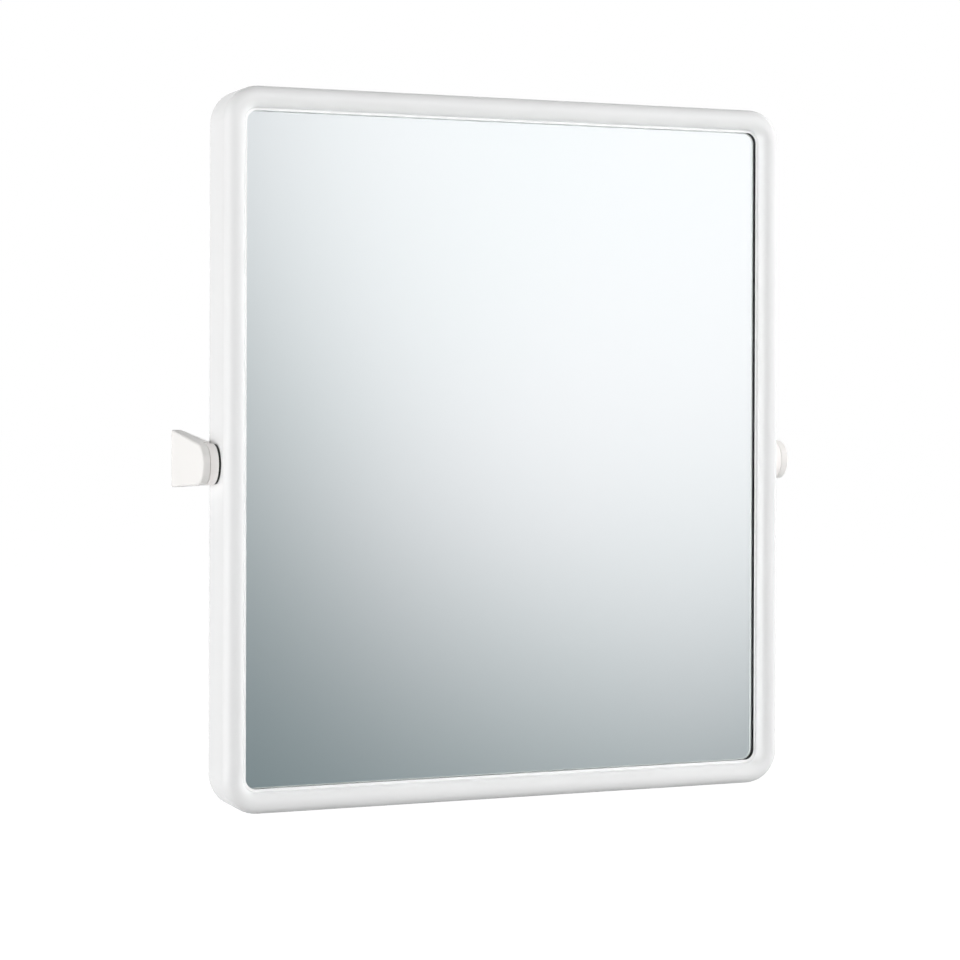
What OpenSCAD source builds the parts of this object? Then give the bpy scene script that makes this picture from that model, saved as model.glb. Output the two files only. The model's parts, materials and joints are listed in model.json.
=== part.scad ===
// Tilting wall mirror: a deep moulded frame with a rolled front edge, hung
// between two wall brackets and turning on a friction pivot at each side.
// Millimetres, +Z up. X runs along the wall and Y into it, so the glass faces
// -Y. The origin lies on the wall, midway between the brackets, at the height
// of the pivot axis.

/* [Frame] */
// Overall width of the mirror frame
frame_w = 600; // [500:10:800]
// Overall height of the mirror frame
frame_h = 700; // [600:10:900]
// Depth of the frame, from the crest of its roll to its back edge
frame_d = 58; // [57:1:75]
// Radius of the frame's four outer corners
corner_r = 34; // [30:1:45]
// Wall thickness of the moulded frame
frame_wall = 3; // [2.4:0.1:3.4]
// Outer radius of the half-round roll along the front edge
roll_r = 10.5; // [9.5:0.1:11]
// Width of the flat lip between the roll and the glass
lip_w = 2.4; // [1.6:0.1:4]
// Thickness of that lip
lip_t = 2; // [1.5:0.1:2.5]
// Rounding of the frame's back edge
back_edge_r = 1.4; // [0.8:0.1:2]

/* [Glass and backing] */
// Thickness of the glass
glass_t = 4; // [3:0.5:5]
// How far the glass reaches in under the lip and the roll
glass_cover = 8.9; // [7:0.1:9.5]
// Thickness of the silvering with its safety film
film_t = 0.4; // [0.2:0.1:0.8]
// Thickness of the black glazing tape between lip and glass
tape_t = 1; // [0.5:0.1:1.5]
// Width of the glazing tape
tape_w = 5; // [4:0.1:6]
// How far the tape stays back from the edge of the lip
tape_back = 0.8; // [0.2:0.1:1]
// Thickness of the backing board
board_t = 3; // [2:0.5:4]
// Thickness of the locating rib round the edge of the glass
rib_t = 1.8; // [1.2:0.1:2]
// Side clearance of the glass inside that rib
glass_clear = 0.5; // [0.3:0.1:0.8]

/* [Clips and screws] */
// Distance of the screw bosses' axes from the outside of the frame
boss_in = 7.5; // [7:0.1:7.8]
// Radius of a screw boss
boss_r = 5.2; // [4.8:0.1:5.4]
// Radius of its stem in the hollow of the roll
boss_stem_r = 3; // [2.4:0.1:3.4]
// Thickness of a glass clip
clip_t = 2; // [1.5:0.1:2.5]
// Width of a glass clip
clip_w = 14; // [12:1:18]
// How far a clip reaches over the glass
clip_reach = 9; // [7:0.5:12]
// Radius of the self-tapping screws
screw_r = 1.5; // [1.3:0.1:1.7]
// Length of their shanks
screw_len = 10; // [8:1:12]
// Head radius of the self-tapping screws
head_r = 3.6; // [3.2:0.1:4]
// Head height of the self-tapping screws
head_h = 2.2; // [1.8:0.1:2.6]
// Distance of the outer clips on the top and bottom rails from the frame's side
clip_end = 50; // [46:1:80]
// Distance of the inner clips on the top and bottom rails from the middle
clip_near_x = 90; // [60:5:120]
// Distance of the clips on the side rails from the middle
clip_side_z = 165; // [150:5:190]
// Distance of the cover screws on the side rails from the middle
cover_screw_z = 235; // [215:5:260]

/* [Rear cover] */
// Thickness of the rear cover
cover_t = 2.5; // [2:0.1:3]
// How far the cover's rim lies inside the frame's back edge
cover_sink = 3; // [2.8:0.1:4]
// Side clearance between the cover and the frame's wall
cover_clear = 0.5; // [0.3:0.1:0.8]
// Distance of the cover's sunk panel from the outside of the frame
panel_in = 38; // [34:1:60]
// Corner radius of the sunk panel
panel_r = 22; // [14:1:40]
// Depth of the sunk panel below the rim
panel_sink = 6; // [4:0.5:7]
// Radius of a wall bumper
bumper_r = 6; // [5:0.5:7]
// Height of a wall bumper above the cover's rim
bumper_h = 6.5; // [4:0.5:7]
// Distance of the bumpers from the side of the frame
bumper_end = 85; // [75:1:95]
// Distance of the bumpers' axes from the outside of the frame
bumper_in = 13; // [12:0.5:16]

/* [Pivots] */
// Distance of the pivot axis from the wall
wall_gap = 89.2; // [83:0.1:140]
// Distance of the pivot axis from the back edge of the frame
pivot_back = 22.2; // [21.6:0.1:25]
// How far the pivot axis lies below the middle of the frame
pivot_drop = 14; // [0:1:30]
// Radius of the pivot bolts
bolt_r = 4; // [3:0.5:5]
// Hexagon width of bolt heads and nuts, across flats
hex_af = 13; // [12:0.5:15]
// Height of the bolt head
bolt_head_h = 5; // [4:0.1:5.4]
// Height of the nut's hexagon
nut_h = 6.5; // [5:0.5:8]
// Height of the nut's locking collar
collar_h = 1.6; // [1:0.1:2]
// Length of bolt that stands out past the nut
bolt_end = 2.2; // [1:0.1:3]
// Radial running clearance of the bolt in its bush
run_clear = 0.05; // [0.03:0.01:0.1]
// End clearance between the turning and the fixed faces
face_clear = 0.3; // [0.2:0.05:0.5]
// Radial clearance of threads in their holes
thread_clear = 0.05; // [0.02:0.01:0.1]
// Radial clearance of seats that don't turn
seat_clear = 0.1; // [0.05:0.05:0.2]
// Radial clearance of screws in the holes they pass through
hole_clear = 0.2; // [0.1:0.05:0.4]
// Wall thickness of the pivot bush
bush_wall = 2.4; // [1.8:0.1:3]
// Radius of the bush's flange
flange_r = 10.5; // [10:0.1:11]
// Thickness of the bush's flange
flange_t = 2; // [1.5:0.1:2.5]
// Radius of the thrust washer
thrust_r = 9.5; // [8:0.1:10.5]
// Thickness of the thrust washer
thrust_t = 1.5; // [1:0.1:2]
// Radius of a disc spring
spring_r = 8.5; // [7.5:0.1:10]
// Thickness of a disc spring
spring_t = 0.9; // [0.7:0.1:1.2]
// Cone height of a disc spring
spring_cone = 0.6; // [0.4:0.1:0.8]
// Number of disc springs, stacked back to back in pairs
spring_count = 2; // [2:2:4]

/* [Steel channels] */
// Length of the steel channel that carries each pivot
channel_len = 160; // [120:5:190]
// Depth of the channel across the side of the frame
channel_w = 27; // [26:0.5:28]
// Thickness of the channel's steel
channel_t = 2.5; // [2:0.1:3]
// Height of the channel's folded edges
channel_edge = 8; // [6:0.5:10]
// Clearance between the channel and the ribs that hold it
channel_clear = 0.4; // [0.2:0.1:0.8]
// Height of the ribs that hold the channel
keeper_h = 7; // [5:0.5:9]
// Thickness of those ribs
keeper_t = 2; // [1.5:0.1:3]

/* [Wall brackets] */
// Radius of the bracket's round end and of the pivot disc
hub_r = 20; // [19:0.5:21.5]
// Thickness of the friction washer beside the frame
washer_t = 1.8; // [1.5:0.1:3]
// How far the friction washer lies inside the disc's edge
washer_in = 0.7; // [0.1:0.1:2]
// Thickness of the pivot disc
disc_t = 8.9; // [7:0.1:10]
// Rounding of the pivot disc's edge beside the frame
disc_edge_r = 1.3; // [0.8:0.1:2]
// Width of the shadow gap between disc and bracket
seam_gap = 0.6; // [0.3:0.1:1.2]
// Depth of that gap
seam_depth = 2; // [0.5:0.5:3]
// Thickness of the bracket's blade
arm_t = 8; // [7:0.5:12]
// Slope of the blade's upper edge, in degrees
top_slope = 7.44; // [5:0.01:12]
// Slope of the blade's lower edge, in degrees
low_slope = 3.36; // [2:0.01:8]
// Rounding of the blade's outer edges
arm_edge_r = 2; // [1:0.5:3.5]
// Depth of the cored pocket in the blade's inner face
core_depth = 4; // [2:0.5:4.5]
// Wall left round the cored pocket
core_wall = 4; // [3:0.5:5]
// Thickness of the rib across the cored pocket
core_rib = 4; // [3:0.5:6]
// Height of the blade's side walls beside the disc
flange_high = 7.4; // [5:0.1:8]
// Height of those walls at the wall
flange_low = 1.6; // [1:0.1:4]
// Length of the foot that turns in behind the mirror
foot_len = 44; // [40:1:60]
// Height of the foot
foot_h = 40; // [38:1:46]
// Thickness of the foot
foot_t = 6; // [5:0.5:8]
// Corner radius of the foot
foot_r = 8; // [4:1:10]
// Radius of the wall screw holes
wall_hole_r = 3.25; // [2.5:0.25:3.5]
// Height between the two wall screws of one foot
wall_hole_pitch = 22; // [20:1:24]
// Distance of the wall screw holes from the blade's inner face
wall_hole_in = 26; // [22:1:30]
// Radius of the countersinks round those holes
wall_sink_r = 6; // [5:0.25:6.5]
// Length of the gusset along the blade
gusset_len = 30; // [20:1:40]
// Length of the gusset along the foot
gusset_foot = 34; // [20:1:38]
// Thickness of the gusset
gusset_t = 4; // [3:0.5:6]
// Radius of the countersunk screws that hold the disc to the bracket
disc_screw_r = 2; // [1.5:0.1:2.2]
// Head radius of those screws
disc_head_r = 3.7; // [3:0.1:4]
// How far they reach into the bracket
disc_screw_reach = 5.5; // [4:0.1:5.8]
// Distance of those screws from the pivot axis
disc_screw_off = 12.5; // [12:0.5:14]

/* [Hidden] */
$fn = 96;
// Overlap of cutting shapes, run-on of trimmed shapes and rooting of joined ones
cut = 1;
over_run = 10;
root = 2;
// Depth of the pivot axis behind the crest of the roll, and place of that crest
pivot_in = frame_d - pivot_back;
front_y = -(wall_gap + pivot_in);
// Radius of the roll's hollow, inset of the lip, and depth where ribs root in it
hollow_r = roll_r - frame_wall;
lip_in = 2 * roll_r + lip_w;
root_z = frame_wall - 0.5;
// Depths behind the front crest: tape, glass, film, board and its back
tape_z = roll_r + lip_t;
glass_z = tape_z + tape_t;
film_z = glass_z + glass_t;
board_z = film_z + film_t;
board_back = board_z + board_t;
// Outside of the glass, measured from the outside of the frame
glass_in = lip_in - glass_cover;
rib_in = glass_in - glass_clear;
// Seat of the rear cover's rim
cover_z = frame_d - cover_sink - cover_t;
// Pivot stack, measured outwards (+) and inwards (-) from the frame's side
washer_z = face_clear;
disc_z = washer_z + washer_t;
arm_z = disc_z + disc_t;
channel_z = -frame_wall - channel_t;
flange_z = channel_z - flange_t;
thrust_z = flange_z - face_clear - thrust_t;
spring_z = thrust_z - spring_count * (spring_t + spring_cone);
nut_z = spring_z - nut_h - collar_h;
bolt_z = nut_z - bolt_end;
bush_r = bolt_r + run_clear;

WHITE = [0.95, 0.95, 0.95];
WARM_WHITE = [0.93, 0.92, 0.91];
BLACK = [0.06, 0.06, 0.06];
STEEL = [0.62, 0.63, 0.65];

// ---- Placing -------------------------------------------------------------

// Local z becomes depth behind the front of the frame, centred on the frame
module behind_front() {
    translate([0, front_y, pivot_drop]) rotate([-90, 0, 0]) children();
}

// Local z points out of the right side of the frame along the pivot axis,
// local x points at the wall and local y up
module right_side() {
    translate([frame_w / 2, -wall_gap, 0]) rotate([90, 0, 90]) children();
}

module left_side() {
    mirror([1, 0, 0]) right_side() children();
}

// Clip and cover screw places, as [x, y, angle of the inward direction]. The
// cover screws of the top and bottom rails stand halfway between the clips.
function rail_points(xs, ys) = concat(
    [for (x = xs, s = [-1, 1]) [x, s * (frame_h / 2 - boss_in), -90 * s]],
    [for (y = ys, s = [-1, 1]) [s * (frame_w / 2 - boss_in), y, s > 0 ? 180 : 0]]
);
clip_far_x = frame_w / 2 - clip_end;
clip_points = rail_points(
    [-clip_far_x, -clip_near_x, clip_near_x, clip_far_x], [-clip_side_z, clip_side_z]
);
cover_screw_x = (clip_far_x + clip_near_x) / 2;
cover_points = rail_points(
    [-cover_screw_x, 0, cover_screw_x], [-cover_screw_z, cover_screw_z]
);
bumper_points = [
    for (i = [-1, 1], j = [-1, 1]) [i * (frame_w / 2 - bumper_end), j * (frame_h / 2 - bumper_in)]
];

// ---- Shared shapes -------------------------------------------------------

module round_rect(w, h, r) {
    square([w - 2 * r, h], center = true);
    square([w, h - 2 * r], center = true);
    for (x = [-1, 1], y = [-1, 1])
        translate([x * (w / 2 - r), y * (h / 2 - r)]) circle(r);
}

// A profile carried round a rectangle: x = 0 is its outside and x < 0 inside
module sweep_ring(w, h, r) {
    for (q = [0:3]) {
        across = (q % 2 == 0 ? w : h) / 2;
        along = (q % 2 == 0 ? h : w) / 2;
        rotate([0, 0, 90 * q]) {
            translate([across, 0, 0]) rotate([90, 0, 0])
                linear_extrude(height = 2 * (along - r), center = true) children();
            translate([across - r, along - r, 0])
                rotate_extrude(angle = 90) translate([r, 0]) children();
        }
    }
}

module tube(r, bore_r, h) {
    difference() {
        cylinder(r = r, h = h);
        translate([0, 0, -cut]) cylinder(r = bore_r, h = h + 2 * cut);
    }
}

module hexagon(af, h) {
    cylinder(r = af / 2 / cos(30), h = h, $fn = 6);
}

// Pan-head screw with its head's underside at z = 0 and its shank below it
module pan_screw() {
    drive_w = head_r / 4;
    translate([0, 0, -screw_len]) cylinder(r = screw_r, h = screw_len);
    difference() {
        rotate_extrude() intersection() {
            square([head_r, head_h]);
            translate([0, head_h - 2 * head_r]) circle(2 * head_r);
        }
        for (a = [0, 90])
            rotate([0, 0, a]) translate([0, 0, head_h])
                cube([head_r, drive_w, head_h], center = true);
    }
}

// ---- Mirror: frame -------------------------------------------------------

// Section of the frame: x = 0 is the outside face and y the depth
module frame_profile() {
    // Half-round roll
    difference() {
        translate([-roll_r, roll_r]) circle(roll_r);
        translate([-roll_r, roll_r]) circle(hollow_r);
        translate([-2 * roll_r - cut, roll_r]) square([2 * roll_r + 2 * cut, roll_r + cut]);
    }
    // Deep side wall with its rounded back edge
    translate([-frame_wall, roll_r]) square([frame_wall, frame_d - roll_r - back_edge_r]);
    translate([-frame_wall, frame_d - back_edge_r - cut])
        square([frame_wall - back_edge_r, back_edge_r + cut]);
    translate([-back_edge_r, frame_d - back_edge_r]) circle(back_edge_r);
    // Lip over the edge of the glass
    translate([-lip_in, roll_r]) square([lip_in - 2 * roll_r + frame_wall, lip_t]);
    // Locating rib round the glass, rooted in the roll
    translate([-rib_in, root_z]) square([rib_t, board_back - root_z]);
}

// Screw boss: a stem in the hollow of the roll and a wider pillar on it
module boss(top) {
    difference() {
        union() {
            translate([0, 0, root_z]) cylinder(r = boss_stem_r, h = top - root_z);
            translate([0, 0, roll_r]) cylinder(r = boss_r, h = top - roll_r);
        }
        translate([0, 0, top - screw_len])
            cylinder(r = screw_r + thread_clear, h = screw_len + cut);
    }
}

// Ribs on the inside of the frame's wall that hold the steel channel
module channel_keepers() {
    for (s = [-1, 1])
        translate([
            -channel_w / 2,
            s * (channel_len / 2 + channel_clear + keeper_t / 2) - keeper_t / 2,
            -frame_wall - keeper_h
        ]) cube([channel_w, keeper_t, keeper_h + frame_wall / 2]);
}

module frame() {
    color(WHITE) difference() {
        union() {
            behind_front() {
                sweep_ring(frame_w, frame_h, corner_r) frame_profile();
                for (p = clip_points)
                    translate([p[0], p[1], 0]) boss(board_back);
                for (p = cover_points)
                    translate([p[0], p[1], 0]) boss(cover_z);
            }
            right_side() channel_keepers();
            left_side() channel_keepers();
        }
        right_side() bush_seat();
        left_side() bush_seat();
    }
}

module bush_seat() {
    translate([0, 0, -frame_wall - cut])
        cylinder(r = bush_r + bush_wall + seat_clear, h = frame_wall + 2 * cut);
}

// ---- Mirror: glass, backing and cover ------------------------------------

// A flat sheet whose edge follows the frame's outside at a distance of inset
module sheet(inset, z, t) {
    behind_front() translate([0, 0, z]) linear_extrude(height = t)
        round_rect(frame_w - 2 * inset, frame_h - 2 * inset, corner_r - inset);
}

module glazing_tape() {
    inner = lip_in - tape_back;
    outer = inner - tape_w;
    color(BLACK) difference() {
        sheet(outer, tape_z, tape_t);
        sheet(inner, tape_z - cut, tape_t + 2 * cut);
    }
}

module mirror_glass() {
    color([0.8, 0.9, 0.88, 0.35]) sheet(glass_in, glass_z, glass_t);
}

module silver_film() {
    color([0.8, 0.82, 0.84]) sheet(glass_in, film_z, film_t);
}

module backing_board() {
    color([0.72, 0.68, 0.6]) sheet(glass_in, board_z, board_t);
}

// Clip plate: its screw hole at the origin, its round end towards +x
module glass_clip() {
    tip = glass_in - boss_in + clip_reach;
    tail = boss_in - frame_wall - cover_clear;
    linear_extrude(height = clip_t) difference() {
        union() {
            translate([-tail, -clip_w / 2]) square([tip + tail - clip_w / 2, clip_w]);
            translate([tip - clip_w / 2, 0]) circle(clip_w / 2);
        }
        circle(screw_r + hole_clear);
    }
}

module glass_clips() {
    color(STEEL) behind_front() for (p = clip_points)
        translate([p[0], p[1], board_back]) rotate([0, 0, p[2]]) glass_clip();
}

module clip_screws() {
    color(STEEL) behind_front() for (p = clip_points)
        translate([p[0], p[1], board_back + clip_t]) pan_screw();
}

module rear_cover() {
    rim_in = frame_wall + cover_clear;
    color(WHITE) behind_front() difference() {
        union() {
            translate([0, 0, cover_z]) linear_extrude(height = cover_t)
                round_rect(frame_w - 2 * rim_in, frame_h - 2 * rim_in, corner_r - rim_in);
            translate([0, 0, cover_z - panel_sink]) linear_extrude(height = panel_sink + cover_t)
                round_rect(frame_w - 2 * panel_in, frame_h - 2 * panel_in, panel_r);
        }
        translate([0, 0, cover_z - panel_sink + cover_t])
            linear_extrude(height = panel_sink + cut)
                round_rect(
                    frame_w - 2 * (panel_in + cover_t),
                    frame_h - 2 * (panel_in + cover_t),
                    panel_r - cover_t
                );
        for (p = cover_points)
            translate([p[0], p[1], cover_z - cut])
                cylinder(r = screw_r + hole_clear, h = cover_t + 2 * cut);
        for (p = bumper_points)
            translate([p[0], p[1], cover_z - cut])
                cylinder(r = bumper_r / 2 + seat_clear, h = cover_t + 2 * cut);
    }
}

module cover_screws() {
    color(STEEL) behind_front() for (p = cover_points)
        translate([p[0], p[1], cover_z + cover_t]) pan_screw();
}

// Rubber buffer: a domed button on a peg pushed through the cover
module wall_bumper() {
    dome_r = bumper_r / 2;
    cylinder(r = bumper_r / 2, h = cover_t);
    translate([0, 0, cover_t]) rotate_extrude() {
        square([bumper_r, bumper_h - dome_r]);
        square([bumper_r - dome_r, bumper_h]);
        translate([bumper_r - dome_r, bumper_h - dome_r]) intersection() {
            circle(dome_r);
            square([dome_r, dome_r]);
        }
    }
}

module wall_bumpers() {
    color(BLACK) behind_front() for (p = bumper_points)
        translate([p[0], p[1], cover_z]) wall_bumper();
}

// ---- Mirror: pivot carriers ----------------------------------------------

// Folded steel channel that spreads the pivot's load along the side wall
module channel() {
    color(STEEL) difference() {
        translate([0, channel_len / 2, 0]) rotate([90, 0, 0])
            linear_extrude(height = channel_len) {
                translate([-channel_w / 2, channel_z]) square([channel_w, channel_t]);
                for (x = [-channel_w / 2, channel_w / 2 - channel_t])
                    translate([x, channel_z + channel_t - channel_edge])
                        square([channel_t, channel_edge]);
            }
        translate([0, 0, channel_z - cut])
            cylinder(r = bush_r + bush_wall + seat_clear, h = channel_t + 2 * cut);
    }
}

// Nylon bush with its flange inside the channel
module bush() {
    color(WARM_WHITE) {
        difference() {
            union() {
                translate([0, 0, flange_z]) cylinder(r = flange_r, h = flange_t);
                translate([0, 0, flange_z])
                    cylinder(r = bush_r + bush_wall, h = -flange_z - face_clear);
            }
            translate([0, 0, flange_z - cut]) cylinder(r = bush_r, h = -flange_z + cut);
        }
    }
}

// ---- Wall brackets -------------------------------------------------------

// Children placed for the blade's upper edge, and mirrored for its lower one:
// x runs along the edge from where it leaves the round end
module both_edges() {
    rotate([0, 0, top_slope]) children();
    mirror([0, 1, 0]) rotate([0, 0, low_slope]) children();
}

// A section swept round the quarter of the round end next to that edge
module nose_quarter() {
    rotate([0, 0, 90]) rotate_extrude(angle = 90) children();
}

// Outline of the blade from its round end to past the wall, drawn in by f
module taper_outline(f) {
    r = hub_r - f;
    far = wall_gap + over_run;
    polygon([
        [-r * sin(top_slope) - root * cos(top_slope), r * cos(top_slope) - root * sin(top_slope)],
        [far, (r + far * sin(top_slope)) / cos(top_slope)],
        [far, -(r + far * sin(low_slope)) / cos(low_slope)],
        [-r * sin(low_slope) - root * cos(low_slope), -r * cos(low_slope) + root * sin(low_slope)]
    ]);
}

// Section across the blade's edge, w wide, with the outer corner rounded
module edge_section(w) {
    translate([-w, 0]) square([w, arm_t - arm_edge_r]);
    translate([-w, 0]) square([w - arm_edge_r, arm_t]);
    translate([-arm_edge_r, arm_t - arm_edge_r]) circle(arm_edge_r);
}

// Blade with rounded outer edges; z = 0 is its inner face
module blade() {
    linear_extrude(height = arm_t) taper_outline(2 * arm_edge_r);
    both_edges() {
        nose_quarter() translate([hub_r, 0]) edge_section(hub_r);
        translate([0, hub_r, 0]) rotate([90, 0, 90])
            linear_extrude(height = wall_gap + over_run) edge_section(3 * arm_edge_r);
    }
}

// Foot against the wall: a plate that turns in behind the mirror
module foot() {
    translate([wall_gap - foot_t, 0, 0]) rotate([90, 0, 90]) linear_extrude(height = foot_t) {
        translate([0, -foot_len / 2]) round_rect(foot_h, foot_len, foot_r);
        translate([-foot_h / 2, -foot_r]) square([foot_h, foot_r + root]);
    }
}

// Countersunk holes for the wall screws
module wall_holes() {
    for (y = [-1, 1])
        translate([wall_gap, y * wall_hole_pitch / 2, -wall_hole_in]) rotate([0, -90, 0])
            rotate_extrude() polygon([
                [0, -over_run],
                [wall_hole_r, -over_run],
                [wall_hole_r, foot_t - wall_sink_r + wall_hole_r],
                [wall_sink_r + cut, foot_t + cut],
                [0, foot_t + cut]
            ]);
}

module gusset() {
    near = wall_gap - foot_t;
    rotate([90, 0, 0]) translate([0, 0, -gusset_t / 2]) linear_extrude(height = gusset_t)
        polygon([
            [near + root, root],
            [near - gusset_len, root],
            [near - gusset_len, 0],
            [near, -gusset_foot],
            [near + root, -gusset_foot]
        ]);
}

// Cored pocket in the inner face, split by a rib in line with the gusset
module core_pocket() {
    near = hub_r + core_wall;
    far = wall_gap - foot_t - core_wall;
    translate([0, 0, -cut]) linear_extrude(height = core_depth + cut) difference() {
        intersection() {
            taper_outline(core_wall);
            translate([near, -wall_gap]) square([far - near, 2 * wall_gap]);
        }
        translate([0, -core_rib / 2]) square([wall_gap, core_rib]);
    }
}

// Side walls of the pocket, which rise from the wall towards the disc
module side_walls() {
    near = sqrt(pow(hub_r + seam_gap, 2) - pow(hub_r - core_wall, 2));
    fall = (flange_high - flange_low) / (wall_gap - near);
    both_edges() translate([0, hub_r, 0]) rotate([90, 0, 0]) linear_extrude(height = core_wall)
        polygon([
            [near, root],
            [near, -flange_high],
            [wall_gap + over_run, -flange_low + fall * over_run],
            [wall_gap + over_run, root]
        ]);
}

module arm() {
    color(WARM_WHITE) translate([0, 0, arm_z]) difference() {
        union() {
            difference() {
                blade();
                core_pocket();
            }
            side_walls();
            foot();
            gusset();
        }
        // The wall plane trims the back
        translate([wall_gap, -wall_gap, -foot_len - cut])
            cube([2 * over_run, 2 * wall_gap, foot_len + arm_t + 2 * cut]);
        wall_holes();
        // Hexagon seat of the bolt head
        translate([0, 0, -cut]) hexagon(hex_af + 2 * seat_clear, bolt_head_h + seat_clear + cut);
        // Holes of the screws that hold the disc
        for (y = [-1, 1])
            translate([0, y * disc_screw_off, -cut])
                cylinder(r = disc_screw_r + thread_clear, h = disc_screw_reach + seat_clear + cut);
    }
}

// ---- Pivot stack ---------------------------------------------------------

module disc() {
    color(WARM_WHITE) translate([0, 0, disc_z]) difference() {
        rotate_extrude() {
            translate([0, disc_edge_r]) square([hub_r, disc_t - disc_edge_r - seam_gap]);
            square([hub_r - disc_edge_r, disc_t / 2]);
            translate([hub_r - disc_edge_r, disc_edge_r]) circle(disc_edge_r);
            translate([0, disc_t / 2]) square([hub_r - seam_depth, disc_t / 2]);
        }
        translate([0, 0, -cut]) cylinder(r = bolt_r + seat_clear, h = disc_t + 2 * cut);
        for (y = [-1, 1])
            translate([0, y * disc_screw_off, 0]) rotate_extrude() polygon([
                [0, -cut],
                [disc_head_r + cut + seat_clear, -cut],
                [disc_screw_r + hole_clear, disc_head_r - disc_screw_r + seat_clear - hole_clear],
                [disc_screw_r + hole_clear, disc_t + cut],
                [0, disc_t + cut]
            ]);
    }
}

// Countersunk screws, their heads flush with the disc under the washer
module disc_screws() {
    cone = disc_head_r - disc_screw_r;
    color(STEEL) for (y = [-1, 1])
        translate([0, y * disc_screw_off, disc_z]) difference() {
            rotate_extrude() polygon([
                [0, 0],
                [disc_head_r, 0],
                [disc_screw_r, cone],
                [disc_screw_r, disc_t + disc_screw_reach],
                [0, disc_t + disc_screw_reach]
            ]);
            for (a = [0, 90])
                rotate([0, 0, a]) cube([disc_head_r, disc_head_r / 4, cone], center = true);
        }
}

module friction_washer() {
    color(BLACK) translate([0, 0, washer_z])
        tube(hub_r - washer_in, bolt_r + hole_clear, washer_t);
}

module pivot_bolt() {
    color(STEEL) {
        translate([0, 0, arm_z]) hexagon(hex_af, bolt_head_h);
        translate([0, 0, bolt_z]) cylinder(r = bolt_r, h = arm_z - bolt_z + cut);
    }
}

module thrust_washer() {
    color(STEEL) translate([0, 0, thrust_z]) tube(thrust_r, bolt_r + seat_clear, thrust_t);
}

// Disc springs in back-to-back pairs, one solid per spring
module disc_springs() {
    pitch = spring_t + spring_cone;
    hole = bolt_r + seat_clear;
    color([0.3, 0.31, 0.33]) for (i = [0:spring_count - 1]) {
        base = spring_z + i * pitch;
        inner = i % 2 == 0 ? 0 : spring_cone;
        outer = spring_cone - inner;
        rotate_extrude() polygon([
            [hole, base + inner],
            [spring_r, base + outer],
            [spring_r, base + outer + spring_t],
            [hole, base + inner + spring_t]
        ]);
    }
}

module lock_nut() {
    color(STEEL) difference() {
        union() {
            translate([0, 0, nut_z + collar_h]) hexagon(hex_af, nut_h);
            translate([0, 0, nut_z]) cylinder(r = hex_af / 2 - collar_h / 2, h = collar_h + cut);
        }
        translate([0, 0, nut_z - cut])
            cylinder(r = bolt_r + thread_clear, h = nut_h + collar_h + 2 * cut);
    }
}

frame();
glazing_tape();
mirror_glass();
silver_film();
backing_board();
glass_clips();
clip_screws();
rear_cover();
cover_screws();
wall_bumpers();
left_side() channel();  // left_channel
right_side() channel();  // right_channel
left_side() bush();  // left_bush
right_side() bush();  // right_bush
left_side() arm();  // left_arm
right_side() arm();  // right_arm
left_side() disc();  // left_disc
right_side() disc();  // right_disc
left_side() disc_screws();  // left_disc_screws
right_side() disc_screws();  // right_disc_screws
left_side() friction_washer();  // left_friction_washer
right_side() friction_washer();  // right_friction_washer
left_side() pivot_bolt();  // left_pivot_bolt
right_side() pivot_bolt();  // right_pivot_bolt
left_side() thrust_washer();  // left_thrust_washer
right_side() thrust_washer();  // right_thrust_washer
left_side() disc_springs();  // left_disc_springs
right_side() disc_springs();  // right_disc_springs
left_side() lock_nut();  // left_lock_nut
right_side() lock_nut();  // right_lock_nut
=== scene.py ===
import json
import math

import bmesh
import bpy
from mathutils import Matrix, Vector


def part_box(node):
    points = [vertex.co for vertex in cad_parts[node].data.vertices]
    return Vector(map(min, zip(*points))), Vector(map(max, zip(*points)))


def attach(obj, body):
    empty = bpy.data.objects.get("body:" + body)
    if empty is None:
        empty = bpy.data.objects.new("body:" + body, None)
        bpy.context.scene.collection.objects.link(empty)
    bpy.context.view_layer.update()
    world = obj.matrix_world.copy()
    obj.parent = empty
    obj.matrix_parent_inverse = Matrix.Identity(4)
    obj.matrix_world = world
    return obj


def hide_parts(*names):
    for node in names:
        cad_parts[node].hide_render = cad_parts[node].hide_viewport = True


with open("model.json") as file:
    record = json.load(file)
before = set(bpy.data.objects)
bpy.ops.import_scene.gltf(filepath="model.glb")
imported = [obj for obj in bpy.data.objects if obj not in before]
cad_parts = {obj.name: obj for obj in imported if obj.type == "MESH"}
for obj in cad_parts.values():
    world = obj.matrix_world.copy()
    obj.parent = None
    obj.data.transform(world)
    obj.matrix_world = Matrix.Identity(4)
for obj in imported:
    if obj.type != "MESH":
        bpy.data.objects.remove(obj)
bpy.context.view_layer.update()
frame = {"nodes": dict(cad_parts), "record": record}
nodes = frame["nodes"]
scene = bpy.context.scene

# The mirror in the shared frame, in metres: front face, middle, width and height
FRONT_Y = -0.125
CENTRE_Z = 0.014
FRAME_W = 0.600
FRAME_H = 0.700
# How far the glass's edge lies inside the frame's, and its corner radius
GLASS_IN = 0.0145
GLASS_CORNER = 0.0195
# Gap of the silver coat to the glass in front of it and the board behind it
COAT_FRONT_GAP = 0.00003
COAT_BACK_GAP = 0.00001

# Height of the floor, and how far it reaches to each side
FLOOR_Z = -1.10
FLOOR_REACH = 60.0
# Its grey, which takes the light and the shadows
FLOOR_TONE = 0.4
# Its glow to the eye, which with the light on it comes to white
FLOOR_GLOW = 0.975
# In reflections it goes from CARD_DARK to white: from y, to y, and the share of
# white at each
FLOOR_SHINE = (-3.0, 3.0, 0.12, 0.9)

# The card that the glass reflects: its place in front, its sides and its top
CARD_Y = -3.0
CARD_X = (-9.0, 9.0)
CARD_TOP = 6.0
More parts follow.
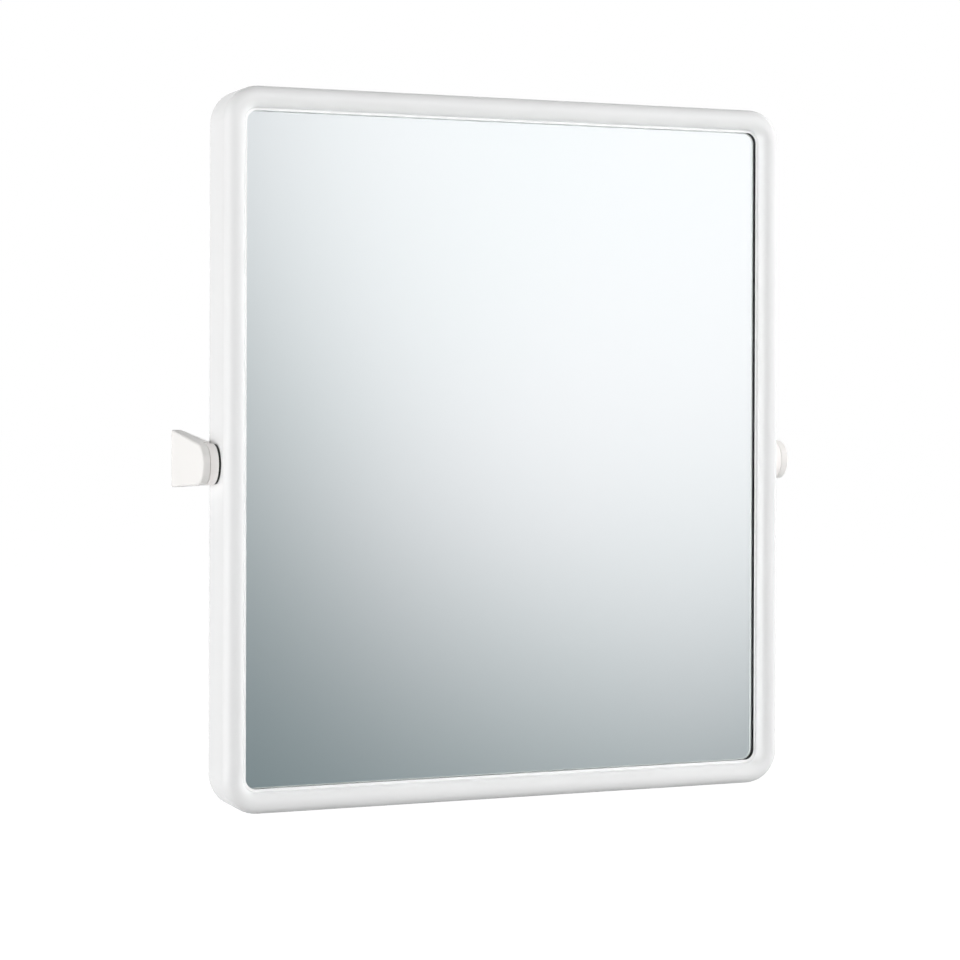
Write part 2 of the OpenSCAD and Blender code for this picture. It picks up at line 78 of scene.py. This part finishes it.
# Soft lights on it: centre x, z, edge radius, edge softness and upright stretch
CARD_LIGHTS = ((1.6992, 1.0717, 1.3286, 0.2084, 1.2658), (-3.2, 0.9, 1.3, 0.3, 1.2))
# Its tone beside them, and what they add to it
CARD_DARK = (0.1482, 0.1926, 0.2086)
CARD_GAIN = (0.9263, 0.8569, 0.8722)
# How far past an edge, in softnesses, the fall of light is still worked out
EDGE_LIMIT = 40.0

# What the glass throws back on the frame, because the lamps don't show in it
THROWN_LIGHT = 6.0
# Light from all round
FILL_LIGHT = 0.06
# Soft lamps: name, start and end in plan, bottom, top and radiance
LAMPS = (
    ("left_low", (-4.1, -2.3), (-4.7, 0.35), -1.05, 0.2, 11.6),
    ("left_high", (-4.1, -2.3), (-4.7, 0.35), 0.2, 1.8, 3.1),
    ("right_low", (3.5, -3.4), (4.7, -1.45), -1.05, 0.2, 4.3),
    ("right_high", (3.5, -3.4), (4.7, -1.45), 0.2, 1.8, 14.2),
    ("front_high", (-1.6, -3.8), (1.6, -3.8), 0.9, 2.4, 3.5),
    ("front_right", (1.0, -3.5), (2.4, -2.6), -0.5, 1.2, 0.6),
    ("back", (1.1, 3.9), (-1.1, 3.9), -0.9, 0.9, 9.0),
)
# The curved panel that only gloss reflects: centre in plan, radius, bottom and top
PANEL_CENTRE = (-0.3, -0.11)
PANEL_RADIUS = 2.3
PANEL_HEIGHT = (-1.0, 1.0)
# Its arc in degrees, counted from the left side towards the front, its strips
# and its glow
PANEL_ARC = (-47, 43)
PANEL_STRIPS = 24
PANEL_GLOW = 1.2


# ---- Camera ----------------------------------------------------------------

def make_camera():
    """The photograph's view: a camera to the mirror's left, turned 22.7 degrees."""
    # Focal length, centre and size of the picture, in pixels
    focal, cx, cy, size = 2563.22, 494.21, 403.95, 960.0
    # How the view is turned, and where it sees the middle of the mirror's front
    yaw, pitch, roll = (math.radians(a) for a in (22.74, 0.35, -0.17))
    tx, ty, tz = -0.0216183, 0.0444033, 2.5572167
    level = math.cos(pitch)
    fwd = Vector((math.sin(yaw) * level, math.cos(yaw) * level, -math.sin(pitch)))
    right = Vector((math.cos(yaw), -math.sin(yaw), 0.0))
    down = fwd.cross(right)
    across = math.cos(roll) * right + math.sin(roll) * down
    below = -math.sin(roll) * right + math.cos(roll) * down
    place = Vector((0.0, FRONT_Y, CENTRE_Z)) - fwd * tz + right * tx - down * ty
    data = bpy.data.cameras.new("camera")
    data.sensor_width = 36.0
    data.lens = focal * data.sensor_width / size
    data.shift_x = (size / 2 - cx) / size
    data.shift_y = (cy - size / 2) / size
    data.clip_start = 0.05
    cam = bpy.data.objects.new("camera", data)
    scene.collection.objects.link(cam)
    turn = Matrix((across, -below, -fwd)).transposed().to_4x4()
    cam.matrix_world = Matrix.Translation(place) @ turn
    scene.camera = cam


make_camera()


# ---- Node helpers ----------------------------------------------------------

class Tree:
    """A node tree, with short ways to add to it."""

    def __init__(self, tree):
        self.tree = tree

    def add(self, kind, **settings):
        node = self.tree.nodes.new(kind)
        for key, value in settings.items():
            setattr(node, key, value)
        return node

    def link(self, a, b):
        self.tree.links.new(a, b)

    def calc(self, operation, a, b=None):
        """The value of a Math node on sockets or numbers."""
        node = self.add("ShaderNodeMath", operation=operation)
        for socket, value in zip(node.inputs, (a, b)):
            if isinstance(value, (int, float)):
                socket.default_value = value
            elif value is not None:
                self.link(value, socket)
        return node.outputs["Value"]

    def mix(self, fac, first, second):
        """The first shader where fac is 0, and the second where it is 1."""
        node = self.add("ShaderNodeMixShader")
        self.link(fac, node.inputs["Fac"])
        self.link(first, node.inputs[1])
        self.link(second, node.inputs[2])
        return node.outputs[0]

    def surface(self, shader, kind="ShaderNodeOutputMaterial"):
        """Show the shader."""
        out = self.add(kind)
        self.link(shader, out.inputs["Surface"])


class Finish(Tree):
    """A node material on one Principled shader, with its textures in metres."""

    def __init__(self, name):
        self.mat = bpy.data.materials.new(name)
        self.mat.use_nodes = True
        super().__init__(self.mat.node_tree)
        self.bsdf = self.tree.nodes["Principled BSDF"]
        self.coord = self.add("ShaderNodeTexCoord").outputs["Object"]

    def put(self, **values):
        """Set numbers on the shader's own sockets."""
        for key, value in values.items():
            self.bsdf.inputs[key.replace("_", " ")].default_value = value

    def noise(self, scale, detail):
        """Soft spots, about scale of them to a metre."""
        noise = self.add("ShaderNodeTexNoise")
        noise.inputs["Scale"].default_value = scale
        noise.inputs["Detail"].default_value = detail
        self.link(self.coord, noise.inputs["Vector"])
        return noise.outputs["Fac"]

    def tones(self, fac, low, high):
        """Two close colours spread over a texture's middle values."""
        ramp = self.add("ShaderNodeValToRGB")
        ramp.color_ramp.elements[0].position = 0.35
        ramp.color_ramp.elements[0].color = (*low, 1)
        ramp.color_ramp.elements[1].position = 0.65
        ramp.color_ramp.elements[1].color = (*high, 1)
        self.link(fac, ramp.inputs["Fac"])
        self.link(ramp.outputs["Color"], self.bsdf.inputs["Base Color"])

    def rough(self, fac, low, high):
        """Roughness from low to high over a texture."""
        span = self.add("ShaderNodeMapRange")
        span.inputs["To Min"].default_value = low
        span.inputs["To Max"].default_value = high
        self.link(fac, span.inputs["Value"])
        self.link(span.outputs["Result"], self.bsdf.inputs["Roughness"])

    def bump(self, fac, height):
        """A skin of that height, in metres."""
        bump = self.add("ShaderNodeBump")
        bump.inputs["Distance"].default_value = height
        bump.inputs["Strength"].default_value = 1.0
        self.link(fac, bump.inputs["Height"])
        self.link(bump.outputs["Normal"], self.bsdf.inputs["Normal"])


# ---- Materials -------------------------------------------------------------
# low and high are the darker and the lighter colour, rough is the range of the
# roughness, and grain and height are the spots to a metre and the height of the skin

def plastic(name, low, high, rough, grain=420.0, height=0.0000012):
    """Moulded plastic: faint flow marks in colour and gloss, and a fine skin."""
    m = Finish(name)
    m.tones(m.noise(7.0, 2.0), low, high)
    m.rough(m.noise(16.0, 2.0), *rough)
    m.bump(m.noise(grain, 2.0), height)
    m.put(IOR=1.5)
    return m.mat


def rubber(name, tone, rough):
    """Black rubber or foam with a dull grain."""
    m = Finish(name)
    m.tones(m.noise(400.0, 4.0), tuple(0.7 * c for c in tone), tone)
    m.rough(m.noise(900.0, 3.0), *rough)
    m.bump(m.noise(1800.0, 3.0), 0.00003)
    return m.mat


def steel(name, low, high, rough):
    """Bare, plated or hardened steel with a fine mottle."""
    m = Finish(name)
    m.tones(m.noise(500.0, 5.0), low, high)
    m.rough(m.noise(1000.0, 3.0), *rough)
    m.bump(m.noise(1500.0, 3.0), 0.000005)
    m.put(Metallic=1.0)
    return m.mat


def clear_glass(name):
    """Clear float glass with the faint green of its iron."""
    m = Finish(name)
    m.tones(m.noise(3.0, 1.0), (0.965, 0.992, 0.985), (0.975, 0.995, 0.99))
    m.rough(m.noise(5.0, 1.0), 0.0, 0.003)
    m.put(Transmission_Weight=1.0, IOR=1.52)
    return m.mat


def silvering(name):
    """The silver behind the glass."""
    m = Finish(name)
    m.tones(m.noise(2.0, 1.0), (0.955, 0.965, 0.965), (0.965, 0.972, 0.97))
    m.rough(m.noise(5.0, 1.0), 0.0, 0.004)
    m.put(Metallic=1.0)
    return m.mat


def fibre_board(name):
    """Pressed fibre board."""
    m = Finish(name)
    m.tones(m.noise(700.0, 5.0), (0.3, 0.27, 0.22), (0.4, 0.36, 0.3))
    m.rough(m.noise(300.0, 3.0), 0.7, 0.9)
    m.bump(m.noise(1200.0, 4.0), 0.00005)
    return m.mat


FINISHES = {
    "frame_plastic": (plastic, (0.805, 0.807, 0.808), (0.82, 0.822, 0.823), (0.17, 0.2)),
    "cover_plastic": (plastic, (0.80, 0.81, 0.815), (0.83, 0.835, 0.84), (0.45, 0.55),
                      900.0, 0.00001),
    "bracket_paint": (plastic, (0.87, 0.852, 0.83), (0.885, 0.868, 0.846), (0.32, 0.4)),
    "disc_plastic": (plastic, (0.925, 0.893, 0.876), (0.935, 0.903, 0.886), (0.3, 0.38)),
    "nylon": (plastic, (0.76, 0.74, 0.66), (0.8, 0.78, 0.71), (0.4, 0.5)),
    "black_rubber": (rubber, (0.014, 0.014, 0.014), (0.55, 0.75)),
    "black_foam": (rubber, (0.012, 0.012, 0.013), (0.7, 0.9)),
    "zinc_plate": (steel, (0.5, 0.52, 0.55), (0.64, 0.65, 0.67), (0.28, 0.42)),
    "bright_steel": (steel, (0.52, 0.52, 0.53), (0.62, 0.62, 0.63), (0.2, 0.32)),
    "spring_steel": (steel, (0.08, 0.08, 0.085), (0.13, 0.13, 0.135), (0.35, 0.5)),
    "glass": (clear_glass,),
    "silver": (silvering,),
    "board": (fibre_board,),
}
MATERIALS = {name: make(name, *values) for name, (make, *values) in FINISHES.items()}

for entry in frame["record"]["subparts"]:
    obj = nodes[entry["node"]]
    obj.data.materials.clear()
    obj.data.materials.append(MATERIALS[entry["material_slot"]])


# ---- Silver film -----------------------------------------------------------

def rounded_outline(w, h, r, steps=16):
    """Points round a rectangle with round corners, about its middle."""
    points = []
    for sx, sz, start in ((1, 1, 0), (-1, 1, 90), (-1, -1, 180), (1, -1, 270)):
        for i in range(steps + 1):
            a = math.radians(start + 90.0 * i / steps)
            points.append((sx * (w / 2 - r) + r * math.cos(a),
                           sz * (h / 2 - r) + r * math.sin(a)))
    return points


def make_film():
    """The silvering lies a hair behind the glass, so that its faces don't fight."""
    low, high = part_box("silver_film")
    front, back = low.y + COAT_FRONT_GAP, high.y - COAT_BACK_GAP
    mesh = bmesh.new()
    outline = rounded_outline(FRAME_W - 2 * GLASS_IN, FRAME_H - 2 * GLASS_IN, GLASS_CORNER)
    rings = []
    for y in (front, back):
        rings.append([mesh.verts.new((x, y, z + CENTRE_Z)) for x, z in outline])
    mesh.faces.new(rings[0])
    mesh.faces.new(list(reversed(rings[1])))
    count = len(outline)
    for i in range(count):
        j = (i + 1) % count
        mesh.faces.new((rings[0][j], rings[0][i], rings[1][i], rings[1][j]))
    bmesh.ops.recalc_face_normals(mesh, faces=mesh.faces)
    data = bpy.data.meshes.new("silver_coat")
    mesh.to_mesh(data)
    mesh.free()
    piece = bpy.data.objects.new("silver_coat", data)
    scene.collection.objects.link(piece)
    data.materials.append(MATERIALS["silver"])
    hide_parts("silver_film")
    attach(piece, "mirror")


make_film()


# ---- Stage -----------------------------------------------------------------

def stage_mesh(name, corners, faces):
    """A plain mesh that isn't part of the object."""
    data = bpy.data.meshes.new(name)
    data.from_pydata(corners, [], faces)
    obj = bpy.data.objects.new(name, data)
    scene.collection.objects.link(obj)
    return obj


def stage_material(name):
    """An empty node material, and its tree."""
    mat = bpy.data.materials.new(name)
    mat.use_nodes = True
    mat.node_tree.nodes.clear()
    return mat, Tree(mat.node_tree)


def place_on(tree):
    """The x, y and z of a point on the object, as sockets."""
    coord = tree.add("ShaderNodeTexCoord")
    split = tree.add("ShaderNodeSeparateXYZ")
    tree.link(coord.outputs["Object"], split.inputs["Vector"])
    return split.outputs


def reflected_look(tree, image):
    """When gloss or glass sees a surface, and what it then sees.

    The eye sees the image in the mirror. Light that has left a matt surface by
    way of the mirror meets the thrown light.
    """
    path = tree.add("ShaderNodeLightPath")
    thrown = tree.add("ShaderNodeEmission")
    thrown.inputs["Strength"].default_value = THROWN_LIGHT
    matt = tree.calc("MINIMUM", path.outputs["Diffuse Depth"], 1.0)
    look = tree.mix(matt, image, thrown.outputs[0])
    seen = tree.calc("MAXIMUM", path.outputs["Is Glossy Ray"],
                     path.outputs["Is Transmission Ray"])
    return seen, look


def make_floor():
    """A floor that is white to the eye, and darker in front in reflections."""
    low, high = -FLOOR_REACH, FLOOR_REACH
    corners = [(low, low, FLOOR_Z), (high, low, FLOOR_Z),
               (high, high, FLOOR_Z), (low, high, FLOOR_Z)]
    floor = stage_mesh("floor", corners, [(0, 1, 2, 3)])
    mat, tree = stage_material("floor_white")
    shine = tree.add("ShaderNodeMapRange", interpolation_type="SMOOTHSTEP")
    for socket, value in zip(("From Min", "From Max", "To Min", "To Max"), FLOOR_SHINE):
        shine.inputs[socket].default_value = value
    tree.link(place_on(tree)["Y"], shine.inputs["Value"])
    tint = tree.add("ShaderNodeValToRGB")
    tint.color_ramp.elements[0].color = (*CARD_DARK, 1)
    tint.color_ramp.elements[1].color = (1, 1, 1, 1)
    tree.link(shine.outputs["Result"], tint.inputs["Fac"])
    image = tree.add("ShaderNodeEmission")
    tree.link(tint.outputs["Color"], image.inputs["Color"])
    seen, look = reflected_look(tree, image.outputs[0])
    diffuse = tree.add("ShaderNodeBsdfDiffuse")
    diffuse.inputs["Color"].default_value = (FLOOR_TONE, FLOOR_TONE, FLOOR_TONE, 1)
    path = tree.add("ShaderNodeLightPath")
    glow = tree.add("ShaderNodeEmission")
    to_eye = tree.calc("MULTIPLY", path.outputs["Is Camera Ray"], FLOOR_GLOW)
    tree.link(to_eye, glow.inputs["Strength"])
    plain = tree.add("ShaderNodeAddShader")
    tree.link(diffuse.outputs[0], plain.inputs[0])
    tree.link(glow.outputs[0], plain.inputs[1])
    tree.surface(tree.mix(seen, plain.outputs[0], look))
    floor.data.materials.append(mat)


def make_card():
    """A studio card in front of the mirror, seen only in reflections."""
    low, high = CARD_X
    corners = [(low, CARD_Y, FLOOR_Z), (high, CARD_Y, FLOOR_Z),
               (high, CARD_Y, CARD_TOP), (low, CARD_Y, CARD_TOP)]
    card = stage_mesh("card", corners, [(0, 1, 2, 3)])
    mat, tree = stage_material("card_light")
    place = place_on(tree)
    total = None
    for x0, z0, radius, soft, stretch in CARD_LIGHTS:
        dx = tree.calc("SUBTRACT", place["X"], x0)
        dz = tree.calc("DIVIDE", tree.calc("SUBTRACT", place["Z"], z0), stretch)
        square = tree.calc("ADD", tree.calc("MULTIPLY", dx, dx), tree.calc("MULTIPLY", dz, dz))
        past = tree.calc("SUBTRACT", tree.calc("SQRT", square), radius)
        edge = tree.calc("MINIMUM", tree.calc("DIVIDE", past, soft), EDGE_LIMIT)
        fall = tree.calc("DIVIDE", 1.0, tree.calc("ADD", 1.0, tree.calc("EXPONENT", edge)))
        total = fall if total is None else tree.calc("ADD", total, fall)
    colour = tree.add("ShaderNodeCombineXYZ")
    for axis, dark, gain in zip("XYZ", CARD_DARK, CARD_GAIN):
        channel = tree.calc("ADD", tree.calc("MULTIPLY", total, gain), dark)
        tree.link(channel, colour.inputs[axis])
    glow = tree.add("ShaderNodeEmission")
    tree.link(colour.outputs["Vector"], glow.inputs["Color"])
    seen, look = reflected_look(tree, glow.outputs[0])
    clear = tree.add("ShaderNodeBsdfTransparent")
    tree.surface(tree.mix(seen, clear.outputs[0], look))
    card.data.materials.append(mat)


def make_world():
    """White to the eye and to gloss and glass, and a soft grey fill as light."""
    world = bpy.data.worlds.new("studio")
    scene.world = world
    world.use_nodes = True
    world.node_tree.nodes.clear()
    tree = Tree(world.node_tree)
    white = tree.add("ShaderNodeBackground")
    white.inputs["Color"].default_value = (1, 1, 1, 1)
    white.inputs["Strength"].default_value = 1.0
    fill = tree.add("ShaderNodeBackground")
    fill.inputs["Color"].default_value = (1, 1, 1, 1)
    fill.inputs["Strength"].default_value = FILL_LIGHT
    path = tree.add("ShaderNodeLightPath")
    seen = tree.calc("MAXIMUM", path.outputs["Is Camera Ray"], path.outputs["Is Glossy Ray"])
    seen = tree.calc("MAXIMUM", seen, path.outputs["Is Transmission Ray"])
    tree.surface(tree.mix(seen, fill.outputs[0], white.outputs[0]), "ShaderNodeOutputWorld")


def softbox(name, start, end, low, high, radiance):
    """An upright lamp from start to end in plan, facing the object."""
    (x0, y0), (x1, y1) = start, end
    width, height = math.hypot(x1 - x0, y1 - y0), high - low
    data = bpy.data.lights.new(name, "AREA")
    data.shape = "RECTANGLE"
    data.size, data.size_y = width, height
    data.energy = radiance * math.pi * width * height
    obj = bpy.data.objects.new(name, data)
    obj.visible_camera = False
    obj.visible_glossy = False
    obj.visible_transmission = False
    scene.collection.objects.link(obj)
    place = Vector(((x0 + x1) / 2, (y0 + y1) / 2, (low + high) / 2))
    up = Vector((0, 0, 1))
    across = Vector((x1 - x0, y1 - y0, 0)).normalized()
    back = across.cross(up)
    if back.dot(place) < 0:
        across, back = -across, -back
    turn = Matrix((across, up, back)).transposed().to_4x4()
    obj.matrix_world = Matrix.Translation(place) @ turn


def make_gloss_panel():
    """A tall curved panel to the mirror's left that only gloss reflects."""
    start, end = PANEL_ARC
    corners, faces = [], []
    for i in range(PANEL_STRIPS + 1):
        a = math.radians(start + (end - start) * i / PANEL_STRIPS)
        x = PANEL_CENTRE[0] - PANEL_RADIUS * math.cos(a)
        y = PANEL_CENTRE[1] - PANEL_RADIUS * math.sin(a)
        corners += [(x, y, z) for z in PANEL_HEIGHT]
        if i:
            k = 2 * i
            faces.append((k - 2, k, k + 1, k - 1))
    panel = stage_mesh("gloss_panel", corners, faces)
    panel.visible_camera = False
    panel.visible_diffuse = False
    panel.visible_shadow = False
    panel.visible_transmission = False
    mat, tree = stage_material("gloss_panel")
    glow = tree.add("ShaderNodeEmission")
    glow.inputs["Strength"].default_value = PANEL_GLOW
    tree.surface(glow.outputs[0])
    panel.data.materials.append(mat)


make_floor()
make_card()
make_world()
for lamp in LAMPS:
    softbox(*lamp)
make_gloss_panel()

scene.view_settings.view_transform = "Standard"
